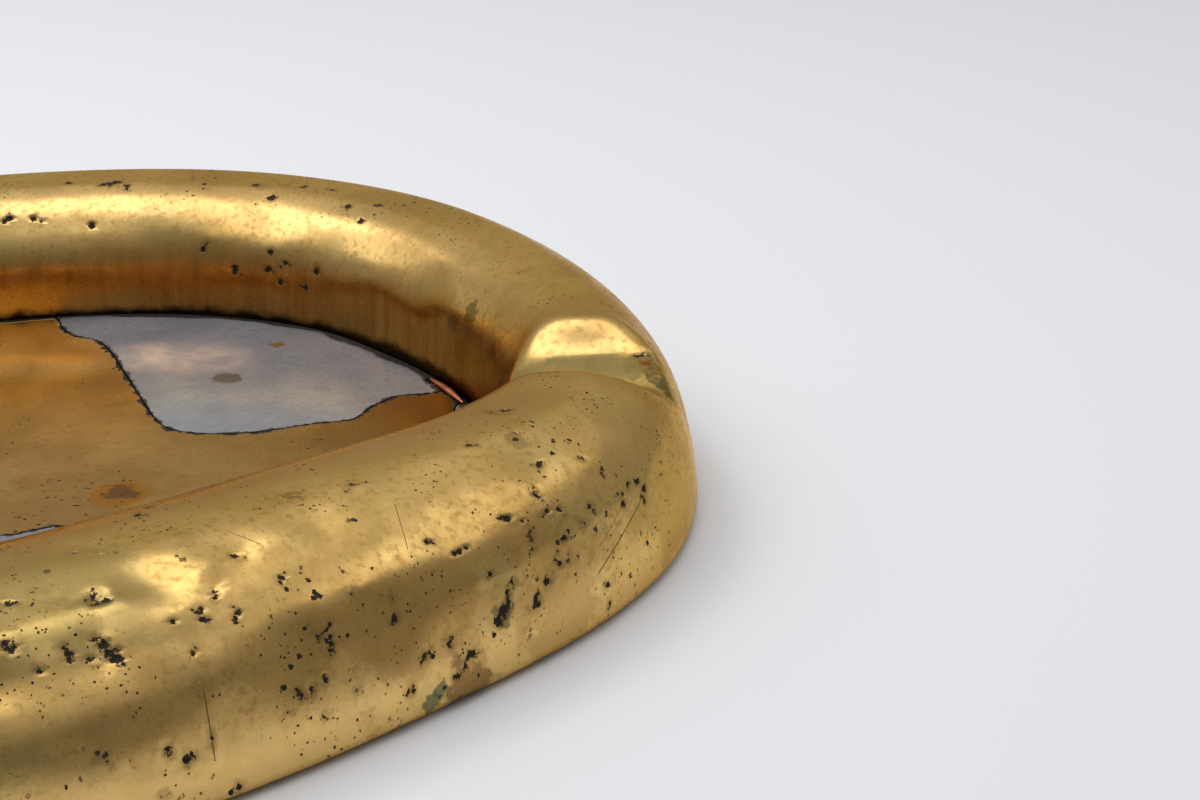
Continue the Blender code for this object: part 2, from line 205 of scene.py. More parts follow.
# Casting pits that stand out: x, y, z and reach, in millimetres
PITS = (
    (41.2, -76.5, 20.3, 0.67), (41.9, -77, 19.7, 0.56), (42.8, -77.3, 19.1, 0.79),
    (43.3, -77.7, 18.5, 0.45), (37.4, -78.7, 20.4, 0.39), (38.1, -79.2, 19.8, 0.39),
    (31, -79.7, 21.9, 0.5), (31.8, -80.1, 21.5, 0.39), (30.4, -73.7, 24, 0.51), (35.1, -81.4, 19.6, 0.39),
    (40.7, -78.9, 18.9, 0.34), (50.5, -69.3, 20.5, 0.51), (51.1, -69.9, 20, 0.51),
    (48, -71.4, 20.5, 0.34), (54.8, -67.4, 19.6, 0.29), (54.6, -68.1, 19.2, 0.37),
    (53.6, -60.1, 23.2, 0.47), (51.9, -65.9, 21.6, 0.32), (50.5, -73.6, 17.6, 0.34),
    (58.8, -61.4, 20.9, 0.41), (63.5, -64.7, 15.1, 0.35), (64.3, -63.7, 15.4, 0.33),
    (64.5, -64.3, 14.4, 0.37), (64.7, -64.6, 13.3, 0.28), (61.2, -68.9, 10.4, 0.35),
    (61.5, -68.9, 9.5, 0.46), (60.6, -70.1, 8.3, 0.29), (56.3, -73.1, 10.8, 0.39),
    (64.1, -66.3, 10.3, 0.33), (62.8, -67.6, 10, 0.29), (64.1, -67.6, 5.7, 0.37), (41.3, -84, 10.6, 0.31),
    (41.8, -83.9, 9.9, 0.34), (47.8, -80.1, 9, 0.51), (49.8, -79.1, 7.3, 0.45), (50.5, -78.6, 7.4, 0.51),
    (52.4, -76.8, 8.8, 0.34), (55.1, -76.2, 2.4, 0.52), (55, -76.4, 1.6, 0.4), (47.6, -81.3, 4.5, 0.36),
    (66.6, -58.6, 18.2, 0.33), (41.3, -52.3, 24.5, 0.42), (42, -49.4, 24.1, 0.36),
    (65.2, -44.6, 24.3, 0.42), (65.7, -43.1, 24.5, 0.37), (83.1, -47.6, 8.3, 0.67),
    (83.7, -46.7, 9.2, 0.8), (84.3, -45.8, 10.1, 0.61), (84.2, -45.5, 11.3, 0.43),
    (84.8, -44.4, 12.4, 0.37), (87.5, -42.7, 8.3, 0.5), (88.1, -41.7, 9.2, 0.44),
    (88.8, -40.5, 10.3, 0.37), (89.6, -39.4, 11, 0.37), (90.6, -37.9, 11.6, 0.5),
    (91.5, -36.7, 11.4, 0.38), (86.7, -44.6, 5.4, 0.32), (84.1, -40.2, 18.6, 0.56),
    (85.9, -39.1, 17.8, 0.37), (87, -39.9, 15.7, 0.4), (87.3, -40.3, 14.8, 0.3), (86.9, -34.1, 20.3, 0.3),
    (87.4, -35, 19.4, 0.33), (87.9, -30.3, 21.6, 0.51), (88.9, -35.8, 17.5, 0.4),
    (90.4, -34.2, 17.2, 0.45), (90.9, -36.2, 14.3, 0.48), (93.4, -25.4, 20.1, 0.36),
    (95.7, -25.1, 18.2, 0.33), (100.4, -20.3, 15, 0.46), (101.2, -19.7, 13.8, 0.53),
    (101.1, -20.7, 12.8, 0.37), (99.2, -22.2, 15.5, 0.34), (98.3, -25.2, 14.1, 0.52),
    (93.4, -32.7, 14.5, 0.38), (94, -30.6, 15.9, 0.38), (96.1, -29.9, 12.2, 0.31),
    (96.4, -31.9, 5.7, 0.45), (97.4, -30.4, 6, 0.45), (96.8, -32.1, 3.2, 0.33), (90.7, -40, 5, 0.38),
    (78.5, -47.4, 17.5, 0.46), (74.8, -48.7, 19.4, 0.39), (71.7, -57.5, 13.9, 0.52),
    (71.3, -56.4, 15.9, 0.36), (82.3, -46.2, 14.3, 0.32), (79.3, -30.8, 24.4, 0.38),
    (77, -53.8, 8.9, 0.42), (77.7, -53.4, 8.2, 0.42), (79.9, -51.7, 6.2, 0.55), (74.4, -56.8, 7.8, 0.42),
    (75, -56.1, 8.2, 0.31), (81.9, -49.7, 5.3, 0.37), (78.2, -53.9, 4.4, 0.51), (79.2, -52.8, 5, 0.32),
    (73.3, -58.7, 5.3, 0.36), (67.2, -64, 7.8, 0.35), (13.6, 79.1, 24.4, 0.67), (15, 79.8, 24.5, 1.01),
    (16.1, 80.2, 24.6, 0.68), (17.6, 79, 24.2, 0.59), (7.9, 79.8, 24.7, 0.59), (39, 78.7, 24.7, 0.58),
    (47, 77.5, 24.9, 0.43), (51.9, 75.8, 24.9, 0.5), (42.1, 74.3, 23.7, 0.74), (12.8, 72, 20.1, 0.5),
    (-0.3, 71.1, 21.4, 0.59), (3.5, 71.7, 21.2, 0.5), (55.1, 69, 24, 0.57), (57.6, 64.8, 23, 0.64),
    (59.9, 67.8, 24.5, 0.49), (41.9, 66.2, 14.4, 0.65), (42.3, 67.1, 17.1, 0.49),
    (44.8, 65.5, 15.8, 0.49), (43.9, 65.2, 12.5, 0.46), (36.3, 67.8, 13.8, 0.74),
    (49.9, 62.8, 15.2, 0.55), (48, 63.2, 12.3, 0.55), (31, 69.7, 16.6, 0.5), (83.2, -19.5, 24.9, 0.44),
    (81.8, -20.1, 24.9, 0.29), (101.6, 10.6, 19.8, 0.34), (39.2, -70.6, 23.2, 0.35), (39.9, -71.4, 23.1, 0.3),
    (40.6, -70.9, 23.1, 0.4), (38.6, -71.3, 23.2, 0.3), (39.6, -70.0, 23.3, 0.25),
)

# How deep the pits go, how their edge falls, how ragged it is, and how far round them the mesh is fine
PIT_DEPTH = 0.22 * MM
PIT_EDGE = (-0.06 * MM, 0.22 * MM)
PIT_GRAIN = 0.7 * MM
PIT_RAGGED = 0.32 * MM
RAGGED_REACH = 1.2 * MM
FINE_REACH = 1 * MM

# The share of its listed reach that a pit keeps, and the small pits beside each, their gap in millimetres
PIT_SHARE = 0.85
COMPANIONS = 2
COMPANION_GAP = (0.25, 0.9)
SMALL_PIT = (0.08 * MM, 0.28 * MM)

# Clusters of small pits on the skin that the list leaves out, and the seed of all that is scattered
CLUSTERS = 60
PITS_PER_CLUSTER = 7
CLUSTER_SPREAD = 5 * MM
SEED = 11


def alone(piece):
    """Selects one piece and nothing else."""
    bpy.ops.object.select_all(action="DESELECT")
    piece.select_set(True)
    bpy.context.view_layer.objects.active = piece


def copy_of(node, name):
    """A welded copy of a CAD node, in quads where they fit."""
    piece = bpy.data.objects.new(name, frame["nodes"][node].data.copy())
    bpy.context.scene.collection.objects.link(piece)
    alone(piece)
    bpy.ops.mesh.customdata_custom_splitnormals_clear()
    bpy.ops.object.mode_set(mode="EDIT")
    bpy.ops.mesh.select_all(action="SELECT")
    bpy.ops.mesh.remove_doubles(threshold=1e-5)
    bpy.ops.mesh.mark_sharp(clear=True)
    bpy.ops.mesh.tris_convert_to_quads(face_threshold=math.pi, shape_threshold=math.pi)
    bpy.ops.object.mode_set(mode="OBJECT")
    piece.data.materials.clear()
    return piece


def points_of(piece):
    """The mesh's points, one row each."""
    points = np.zeros(len(piece.data.vertices) * 3)
    piece.data.vertices.foreach_get("co", points)
    return points.reshape(-1, 3)


def normals_of(piece):
    """The way that the skin faces at each point."""
    normals = np.zeros(len(piece.data.vertices) * 3)
    piece.data.vertex_normals.foreach_get("vector", normals)
    return normals.reshape(-1, 3)


def applied(piece, kind, **settings):
    """Adds a modifier, sets it and applies it."""
    alone(piece)
    modifier = piece.modifiers.new(kind.title(), kind)
    for key, value in settings.items():
        setattr(modifier, key, value)
    bpy.ops.object.modifier_apply(modifier=modifier.name)


def refined(piece):
    """Rounds a piece and quarters its faces."""
    applied(piece, "SUBSURF", levels=1, render_levels=1)


def weighted(piece, name, weights):
    """A vertex group with the given weights, from 0 to 1."""
    group = piece.vertex_groups.new(name=name)
    for index, weight in enumerate(weights):
        if weight > 0:
            group.add([index], float(weight), "REPLACE")


def moved(piece, name, shares, strength, direction="NORMAL"):
    """Moves each point by its share of the strength, along its normal or along an axis."""
    weighted(piece, name, shares)
    applied(piece, "DISPLACE", direction=direction, strength=strength, mid_level=0, vertex_group=name)


def smoothed(piece, name, shares, iterations):
    """Smooths a piece where its shares are above 0."""
    weighted(piece, name, shares)
    applied(piece, "SMOOTH", factor=0.5, iterations=iterations, vertex_group=name)


def store(piece, name, values):
    """Keeps a value for each point, for the finish to read."""
    attribute = piece.data.attributes.new(name, "FLOAT", "POINT")
    attribute.data.foreach_set("value", np.asarray(values, dtype=np.float32))


def smooth_step(values, low, high):
    """0 below the low end, 1 above the high end, with a soft way between."""
    share = np.clip((values - low) / (high - low), 0, 1)
    return share * share * (3 - 2 * share)


def rounded(values, turn):
    """The values above zero, with a soft turn instead of a corner."""
    return (values + np.sqrt(values ** 2 + turn ** 2)) / 2


def hollow(away):
    """Depth of a round hollow: 1 in its middle, 0 from a distance of 1 on."""
    return np.clip(1 - away ** 2, 0, 1) ** 2


def distance_from(points, starts, ends):
    """Distance of each point from the nearest of some straight stretches, in plan or in space."""
    best = np.full(len(points), np.inf)
    for start, end in zip(starts, ends):
        along = end - start
        share = np.clip((points - start) @ along / (along @ along), 0, 1)
        best = np.minimum(best, np.linalg.norm(points - start - share[:, None] * along, axis=1))
    return best


def wall_line():
    """The floor plate's outer edge as a closed loop, in order round the plan."""
    points = points_of(frame["nodes"]["floor_plate"])
    underside = points[points[:, 2] < points[:, 2].min() + 1e-6]
    loop = np.unique(underside[:, :2].round(6), axis=0)
    middle = loop.mean(axis=0)
    return loop[np.argsort(np.arctan2(loop[:, 1] - middle[1], loop[:, 0] - middle[0]))]


def rests():
    """Bottom and plan middle of each cigarette rest, from the record."""
    openings = frame["record"]["physics"]["openings"]
    boxes = [opening["box_m"] for opening in openings if opening["name"].startswith("rest")]
    return [(low[2], np.array([(low[0] + high[0]) / 2, (low[1] + high[1]) / 2])) for low, high in boxes]


WALL = wall_line()
RESTS = rests()


def from_wall(points):
    """Distance of each point, in plan, from the wall that the floor plate meets."""
    return distance_from(points[:, :2], WALL, np.roll(WALL, -1, axis=0))


# The rim

def unlisted(place):
    """Whether a place is on the left, at the front left, at the back or at the right end of the ring."""
    front_left = place.y < -40 * MM and place.x < 25 * MM
    return place.x < -25 * MM or front_left or place.y > 84 * MM or place.x > 104 * MM


def pit_places(rim, rng):
    """Middles and reaches of all the pits, on the rim's skin."""
    wanted = [(Vector(pit[:3]) * MM, pit[3] * PIT_SHARE * MM) for pit in PITS]
    for place, reach in wanted[:]:
        for _ in range(COMPANIONS):
            way = Vector([rng.gauss(0, 1) for _ in range(3)]).normalized()
            stray = way * (reach + rng.uniform(*COMPANION_GAP) * MM)
            wanted.append((place + stray, rng.uniform(*SMALL_PIT)))
    skin = [face.center for face in rim.data.polygons if face.center.z > FLOOR_TOP + 2 * MM]
    skin = [place for place in skin if unlisted(place)]
    for _ in range(CLUSTERS):
        heart = rng.choice(skin)
        for _ in range(PITS_PER_CLUSTER):
            stray = Vector([rng.gauss(0, CLUSTER_SPREAD) for _ in range(3)])
            wanted.append((heart + stray, rng.uniform(*SMALL_PIT)))
    places, reaches = [], []
    for place, reach in wanted:
        _, on_skin, normal, _ = rim.closest_point_on_mesh(place)
        if on_skin.z > 1.5 * MM and normal.z > -0.2:
            places.append(on_skin)
            reaches.append(reach)
    return np.array(places), np.array(reaches)


def nearest_pit(points, places, reaches):
    """How far each point lies outside the nearest pit's edge; below zero inside a pit."""
    best = np.full(len(points), 2 * MM)
    for place, reach in zip(places, reaches):
        best = np.minimum(best, np.linalg.norm(points - place, axis=1) - reach)
    return best


def section_place(points, normals):
    """Place of each point across the rim, measured round its section from the crest."""
    across = from_wall(points)
    middle = WALL.mean(axis=0)
    outward = np.einsum("ij,ij->i", normals[:, :2], points[:, :2] - middle) > 0
    fall = CREST - points[:, 2]
    return np.where(outward, across + fall, across - fall)


def flat(points, normals, heart, depth, lean):
    """Depth of a plane cut into the skin; a lean above zero turns it more upright."""
    middle = points[np.argmin(np.linalg.norm(points - heart, axis=1))]
    away = np.linalg.norm(points - middle, axis=1)
    around = normals[away < FLAT_HEART].mean(axis=0)
    slope = math.hypot(around[0], around[1])
    tilt = max(math.atan2(slope, around[2]) - lean, 0)
    outward = around[:2] / slope * math.sin(tilt)
    facing = np.array([outward[0], outward[1], math.cos(tilt)])
    over = np.clip((points - middle) @ facing + depth, 0, FLAT_DEEPEST)
    return (1 - smooth_step(away, *FLAT_REACH)) * over * smooth_step(normals @ facing, 0.3, 0.6)


def groove(points, places, half_width):
    """A groove's share of its depth at each point."""
    places = np.array(places) * MM
    return hollow(distance_from(points, places, places[1:]) / half_width)


def liveliness(points):
    """How lively the skin is: 0 in the rests, less on the smooth back of the ring, 1 elsewhere."""
    back = smooth_step(points[:, 1], *BACK_FROM) * (1 - smooth_step(points[:, 0], *BACK_TO))
    away = np.min([np.linalg.norm(points[:, :2] - heart, axis=1) for _, heart in RESTS], axis=0)
    return (1 - CALM * back) * smooth_step(away, *REST_CALM)


def relief(points, normals, rng):
    """How far each point of the skin is worked inward."""
    calm = liveliness(points)
    cut = np.zeros(len(points))
    for x, y, z, depth, lean in FLATS:
        heart = np.array([x, y, z]) * MM
        cut = np.maximum(cut, flat(points, normals, heart, depth * MM, math.radians(lean)))
    for _ in range(FLAT_COUNT):
        heart = points[rng.randrange(len(points))]
        depth = rng.uniform(*SCATTERED_DEPTH) * MM
        lean = math.radians(rng.uniform(*SCATTERED_LEAN))
        if heart[2] > FLOOR_TOP + 3 * MM:
            cut = np.maximum(cut, calm * flat(points, normals, heart, depth, lean))
    middle = WALL.mean(axis=0)
    turn = np.arctan2(points[:, 1] - middle[1], points[:, 0] - middle[0])
    section = section_place(points, normals)
    radius = MEAN_RADIUS / RIPPLE_LENGTH
    ripples = [
        noise.noise(Vector((radius * math.cos(a), radius * math.sin(a), s / RIPPLE_WIDTH)))
        for a, s in zip(turn, section)
    ]
    depth = cut + RIPPLE_DEPTH * calm * (1 + np.array(ripples))
    for places, half_width, deep in GROOVES:
        depth += deep * MM * groove(points, places, half_width * MM)
    return depth


def dents(points, rng):
    """Depth of the dents knocked into the skin."""
    depth = np.zeros(len(points))
    calm = liveliness(points)
    for x, y, z, reach, deep in DENTS:
        away = np.linalg.norm(points - np.array([x, y, z]) * MM, axis=1)
        depth += deep * MM * hollow(away / (reach * MM))
    for _ in range(DENT_COUNT):
        heart = points[rng.randrange(len(points))]
        away = np.linalg.norm(points - heart, axis=1) / rng.uniform(*DENT_REACH)
        depth += calm * rng.uniform(0, 1) * DENT_DEPTH * hollow(away)
    return depth


def set_back_foot(rim):
    """Chamfers the rim's corners, the foot's among them, and keeps the chamfers' edges crisp."""
    bpy.ops.object.mode_set(mode="EDIT")
    bpy.ops.mesh.select_mode(type="EDGE")
    bpy.ops.mesh.select_all(action="DESELECT")
    bpy.ops.mesh.edges_select_sharp(sharpness=math.radians(50))
    bpy.ops.mesh.bevel(offset=FOOT_CHAMFER, segments=1)
    bpy.ops.mesh.select_all(action="DESELECT")
    bpy.ops.mesh.edges_select_sharp(sharpness=math.radians(25))
    bpy.ops.transform.edge_crease(value=FOOT_CREASE)
    bpy.ops.object.mode_set(mode="OBJECT")


def fine_at_pits(rim, places, reaches):
    """Splits the faces in and around the pits."""
    centres = np.array([face.center for face in rim.data.polygons])
    near = nearest_pit(centres, places, reaches) < FINE_REACH
    bpy.ops.object.mode_set(mode="EDIT")
    bpy.ops.mesh.select_mode(type="FACE")
    bpy.ops.mesh.select_all(action="DESELECT")
    bpy.ops.object.mode_set(mode="OBJECT")
    rim.data.polygons.foreach_set("select", near)
    bpy.ops.object.mode_set(mode="EDIT")
    bpy.ops.mesh.subdivide(number_cuts=2, smoothness=0)
    bpy.ops.object.mode_set(mode="OBJECT")


def scoop_rests(rim):
    """Cuts and fills the far side of each cigarette rest to its two slopes, and softens its edges."""
    points = points_of(rim)
    softness, cut, filled = np.zeros((3, len(points)))
    gentle, steep = math.tan(REST_SLOPES[0]), math.tan(REST_SLOPES[1])
    backward = np.array([-math.sin(REST_TURN), math.cos(REST_TURN)])
    for bottom, heart in RESTS:
        away = np.linalg.norm(points[:, :2] - heart, axis=1)
        softness = np.maximum(softness, 1 - smooth_step(away, *REST_SOFT))
        farther = (points[:, :2] - heart) @ backward
        rise = rounded(farther - REST_KNEE, REST_KNEE_TURN) * (steep - gentle)
        flank = bottom - REST_DROP + gentle * (farther - REST_START) + rise
        over = points[:, 2] - flank
        near = (1 - smooth_step(away, *REST_LONG)) * smooth_step(farther, -2.5 * MM, 0)
        near *= smooth_step(points[:, 2], 1 * MM, 6 * MM)
        cut = np.maximum(cut, near * rounded(over, REST_EDGE))
        filled = np.maximum(filled, near * np.maximum(-over, 0) * (1 - smooth_step(-over, *REST_FILL)))
    filled = np.minimum(filled, np.maximum(CREST - 0.4 * MM - points[:, 2], 0))
    softness *= smooth_step(points[:, 2], 3 * MM, 8 * MM)
    moved(rim, "cut", np.clip(cut / REST_CHANGE, 0, 1), -REST_CHANGE, "Z")
    moved(rim, "filled", np.clip(filled / REST_CHANGE, 0, 1), REST_CHANGE, "Z")
    smoothed(rim, "rests", softness, 30)


def fill_out(rim):
    """Fills the outer skin out, as far as there is room below the crest's height."""
    points, normals = points_of(rim), normals_of(rim)
    outer = smooth_step(from_wall(points), 3 * MM, 7 * MM) * smooth_step(points[:, 2], FOOT_CHAMFER, 5 * MM)
    spare = (CREST - 0.03 * MM - points[:, 2]) / np.maximum(normals[:, 2], 0.05)
    moved(rim, "full", outer * np.clip(spare / FULLNESS, 0, 1), FULLNESS)


def workable(points):
    """How freely the skin is worked: not at the foot, nor inside where it meets the floor."""
    inside = (from_wall(points) < 3 * MM) | (points[:, 2] < 0.1 * MM)
    outside = smooth_step(points[:, 2], 0.3 * MM, 4 * MM)
    return np.where(inside, smooth_step(points[:, 2], FLOOR_TOP + 0.5 * MM, FLOOR_TOP + 4 * MM), outside)


def cast_rim():
    """The ring: a copy of the CAD rim with a crisp foot, softened rests, dents and pits."""
    rng = random.Random(SEED)
    rim = copy_of("rim", "rim_cast")
    set_back_foot(rim)
    refined(rim)
    places, reaches = pit_places(rim, rng)
    fine_at_pits(rim, places, reaches)
    refined(rim)
    scoop_rests(rim)
    fill_out(rim)

    points, normals = points_of(rim), normals_of(rim)
    worked = workable(points)
    shares = np.clip(relief(points, normals, rng) * worked / RELIEF_DEPTH, 0, 1)
    moved(rim, "relief", shares, -RELIEF_DEPTH)
    smoothed(rim, "worked", worked, SMOOTHINGS)

    points = points_of(rim)
    places = np.array([rim.closest_point_on_mesh(Vector(place))[1] for place in places])
    ragged = np.array([noise.noise(Vector(point) / PIT_GRAIN) for point in points]) * PIT_RAGGED
    pit = nearest_pit(points, places, reaches)
    pit = pit + np.where(pit < RAGGED_REACH, ragged, 0)
    depth = dents(points, rng) * worked + PIT_DEPTH * smooth_step(-pit, *PIT_EDGE)
    store(rim, "to_pit", pit)
    store(rim, "across", from_wall(points))
    moved(rim, "dented", np.clip(depth / RELIEF_DEPTH, 0, 1), -RELIEF_DEPTH)
    alone(rim)
    bpy.ops.object.shade_smooth_by_angle(angle=math.radians(60))
    return rim


# The floor and its metals

def sheet(node, name):
    """A sheet of the floor, cut into small faces, that knows how far the wall and its seams are."""
    piece = copy_of(node, name)
    low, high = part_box(node)
    bpy.ops.object.mode_set(mode="EDIT")
    bpy.ops.mesh.select_all(action="SELECT")
    bpy.ops.mesh.dissolve_limited(angle_limit=math.radians(1))
    bpy.ops.object.mode_set(mode="OBJECT")
    starts, ends = seams(piece)
    bpy.ops.object.mode_set(mode="EDIT")
    for axis in (0, 1):
        count = int((high[axis] - low[axis]) / SHEET_STEP)
        for index in range(1, count + 1):
            through = [0, 0, 0]
            through[axis] = low[axis] + (high[axis] - low[axis]) * index / (count + 1)
            square = [0, 0, 0]
            square[axis] = 1
            bpy.ops.mesh.select_all(action="SELECT")
            bpy.ops.mesh.bisect(plane_co=through, plane_no=square)
    bpy.ops.object.mode_set(mode="OBJECT")
    points = points_of(piece)
    store(piece, "to_wall", from_wall(points))
    store(piece, "to_seam", distance_from(points[:, :2], starts, ends))
    middle = RISE_PLACE[0] + (RISE_PLACE[1] - RISE_PLACE[0]) * smooth_step(points[:, 0], *RISE_SHIFT)
    risen = RISE * smooth_step(points[:, 1] - middle, -RISE_BREADTH / 2, RISE_BREADTH / 2)
    risen += RISE_SLOPE * np.maximum(points[:, 1] - middle, 0)
    moved(piece, "risen", np.clip(risen / RISE_MOST, 0, 1), RISE_MOST, "Z")
    alone(piece)
    bpy.ops.object.shade_smooth_by_angle(angle=math.radians(30))
    return piece


def seams(piece):
    """The edges of a sheet's top that meet another sheet, in plan."""
    top = max(vertex.co.z for vertex in piece.data.vertices)
    faces_on = {}
    for face in piece.data.polygons:
        level = face.normal.z > 0.9 and abs(face.center.z - top) < 1e-5
        upright = abs(face.normal.z) < 0.5
        for key in face.edge_keys:
            faces_on.setdefault(key, []).append((level, upright))
    pairs = []
    for key, kinds in faces_on.items():
        if any(level for level, _ in kinds) and any(upright for _, upright in kinds):
            pairs.append(key)
    points = points_of(piece)[:, :2]
    starts = points[[pair[0] for pair in pairs]]
    ends = points[[pair[1] for pair in pairs]]
    middles = (starts + ends) / 2
    inner = from_wall(middles) > 0.25 * MM
    return starts[inner], ends[inner]


class Finish:
    """A finish, built from a few kinds of detail."""

    def __init__(self, name):
        self.material = bpy.data.materials.new(name)
        self.material.use_nodes = True
        self.tree = self.material.node_tree
        self.shader = self.tree.nodes["Principled BSDF"]
        self.place = self.tree.nodes.new("ShaderNodeTexCoord").outputs["Object"]

    def add(self, kind, **settings):
        made = self.tree.nodes.new("ShaderNode" + kind)
        for key, value in settings.items():
            setattr(made, key, value)
        return made

    def feed(self, socket, value):
        """Links a node's output to a socket, or sets the socket to a value."""
        if isinstance(value, bpy.types.NodeSocket):
            self.tree.links.new(value, socket)
        else:
            socket.default_value = value

    def maths(self, operation, first, second=0.0, clamp=False):
        """One sum on two values; with clamp, held between 0 and 1."""
        made = self.add("Math", operation=operation, use_clamp=clamp)
        self.feed(made.inputs[0], first)
        self.feed(made.inputs[1], second)
        return made.outputs[0]

    def vector(self, operation, first, second, output=0):
        """One sum on two places or directions."""
        made = self.add("VectorMath", operation=operation)
        self.feed(made.inputs[0], first)
        self.feed(made.inputs[1], second)
        return made.outputs[output]

    def stretched(self, scale):
        """The place, scaled along each axis."""
        made = self.add("Mapping")
        self.feed(made.inputs["Vector"], self.place)
        made.inputs["Scale"].default_value = scale
        return made.outputs[0]

    def grain(self, scale, detail=3.0, rough=0.5, source=None):
        """Soft, uneven grain from 0 to 1, finer at a greater scale."""
        made = self.add("TexNoise")
        self.feed(made.inputs["Vector"], source or self.place)
        made.inputs["Scale"].default_value = scale
        made.inputs["Detail"].default_value = detail
        made.inputs["Roughness"].default_value = rough
        return made.outputs["Fac"]

    def between(self, value, low, high, to_low=0.0, to_high=1.0):
        """The value, taken softly from one range to another and held at its ends."""
        made = self.add("MapRange", interpolation_type="SMOOTHSTEP")
        self.feed(made.inputs["Value"], value)
        made.inputs["From Min"].default_value = low
        made.inputs["From Max"].default_value = high
        made.inputs["To Min"].default_value = to_low
        made.inputs["To Max"].default_value = to_high
        return made.outputs["Result"]

    def mix(self, amount, first, second):
        """The first colour, with an amount of the second laid over it."""
        made = self.add("Mix", data_type="RGBA")
        self.feed(made.inputs[0], amount)
        for socket, tone in ((made.inputs[6], first), (made.inputs[7], second)):
            self.feed(socket, tone if isinstance(tone, bpy.types.NodeSocket) else (*tone, 1))
        return made.outputs[2]

    def value_of(self, name):
        """A value that the mesh keeps for each point."""
        return self.add("Attribute", attribute_name=name).outputs["Fac"]

    def level(self, axis="Z"):
        """The place along one axis."""
        made = self.add("SeparateXYZ")
        self.feed(made.inputs[0], self.place)
        return made.outputs[axis]

    def specks(self, scale, share, size, ragged=0.35):
        """Scattered specks: above 0 inside one."""
        wobble = self.add("TexNoise")
        self.feed(wobble.inputs["Vector"], self.place)
        wobble.inputs["Scale"].default_value = scale * 2.2
        wobble.inputs["Detail"].default_value = 3
        shifted = self.add("VectorMath", operation="MULTIPLY_ADD")
        self.feed(shifted.inputs[0], wobble.outputs["Color"])
        shifted.inputs[1].default_value = (ragged / scale * 2,) * 3
        self.feed(shifted.inputs[2], self.place)
        cells = self.add("TexVoronoi")
        self.feed(cells.inputs["Vector"], shifted.outputs[0])
        cells.inputs["Scale"].default_value = scale
        lottery = self.add("SeparateColor")
        self.feed(lottery.inputs[0], cells.outputs["Color"])
        reach = self.between(lottery.outputs[0], 1 - share, 1.0, 0.0, size)
        return self.maths("SUBTRACT", reach, cells.outputs["Distance"])

    def ragged_patch(self, middle, reach, ragged=0.3):
        """1 in the middle of a ragged round patch, 0 outside it."""
        away = self.vector("DISTANCE", self.place, middle, "Value")
        uneven = self.between(self.grain(1.2 / reach, 4, 0.6), 0.2, 0.8, -ragged * reach, ragged * reach)
        return self.between(self.maths("ADD", away, uneven), reach * 1.15, reach * 0.75)

    def scratch(self, start, end, width, facing):
        """1 on a thin straight line between two places, seen along the way that the skin faces there."""
        way = end - start
        offset = self.vector("SUBTRACT", self.place, start)
        share = self.vector("DOT_PRODUCT", offset, way / way.length_squared, "Value")
        share = self.maths("MAXIMUM", self.maths("MINIMUM", share, 1.0), 0.0)
        along = self.add("VectorMath", operation="SCALE")
        along.inputs[0].default_value = way
        self.feed(along.inputs["Scale"], share)
        gap = self.vector("SUBTRACT", offset, along.outputs[0])
        lift = self.add("VectorMath", operation="SCALE")
        lift.inputs[0].default_value = facing
        self.feed(lift.inputs["Scale"], self.vector("DOT_PRODUCT", gap, facing, "Value"))
        away = self.vector("DISTANCE", gap, lift.outputs[0], "Value")
        return self.between(away, width, width * 0.4)

    def bumped(self, height, distance):
        """Raises fine relief by a height from 0 to 1, over the given distance."""
        made = self.add("Bump")
        made.inputs["Strength"].default_value = 1.0
        made.inputs["Distance"].default_value = distance
        self.feed(made.inputs["Height"], height)
        self.feed(self.shader.inputs["Normal"], made.outputs[0])


# The cast brass, from bright to brown, and the grain in it
BRIGHT, WORN = (0.67, 0.45, 0.16), (0.50, 0.315, 0.10)
OLIVE, BROWNED = (0.45, 0.335, 0.12), (0.40, 0.255, 0.08)
GRAIN = (0.27, 0.16, 0.04)

# Painted floor reflections at the lip and on the inner wall, brighter on its left part; painted sheen low
# outside
LIP_FLOOR_REFLECTION = (0.42, 0.245, 0.10)
INNER_WALL_AND_REFLECTION = ((0.47, 0.215, 0.045), (0.28, 0.12, 0.025))
WALL_FLOOR_REFLECTION = (0.90, 0.50, 0.12)
TABLE_SHEEN = (0.80, 0.53, 0.19)

# What lies on it: a darker band in the corner, the inside of a pit and its rim, and scratches
CORNER_DARK = (0.03, 0.018, 0.008)
PIT_BLACK = (0.014, 0.012, 0.010)
PIT_RIM = (0.22, 0.14, 0.05)
SCRATCH = (0.12, 0.07, 0.03)

# Places without fine specks, in metres, and how far round: the right rest and the dented crest
CLEAR = (((0.094, 0.011, 0.022), 9 * MM), ((0.044, -0.069, 0.023), 5 * MM))


def brass_tones(f, blotch, fine):
    """The colour of the bare brass, mottled all over."""
    colour = f.mix(f.between(f.grain(34, 4, 0.55), 0.38, 0.62), BRIGHT, WORN)
    colour = f.mix(f.between(f.grain(55, 3, 0.6), 0.5, 0.68, 0, 0.6), colour, OLIVE)
    colour = f.mix(f.between(blotch, 0.48, 0.68, 0, 0.7), colour, BROWNED)
    return f.mix(f.between(fine, 0.48, 0.70, 0, 0.6), colour, GRAIN)


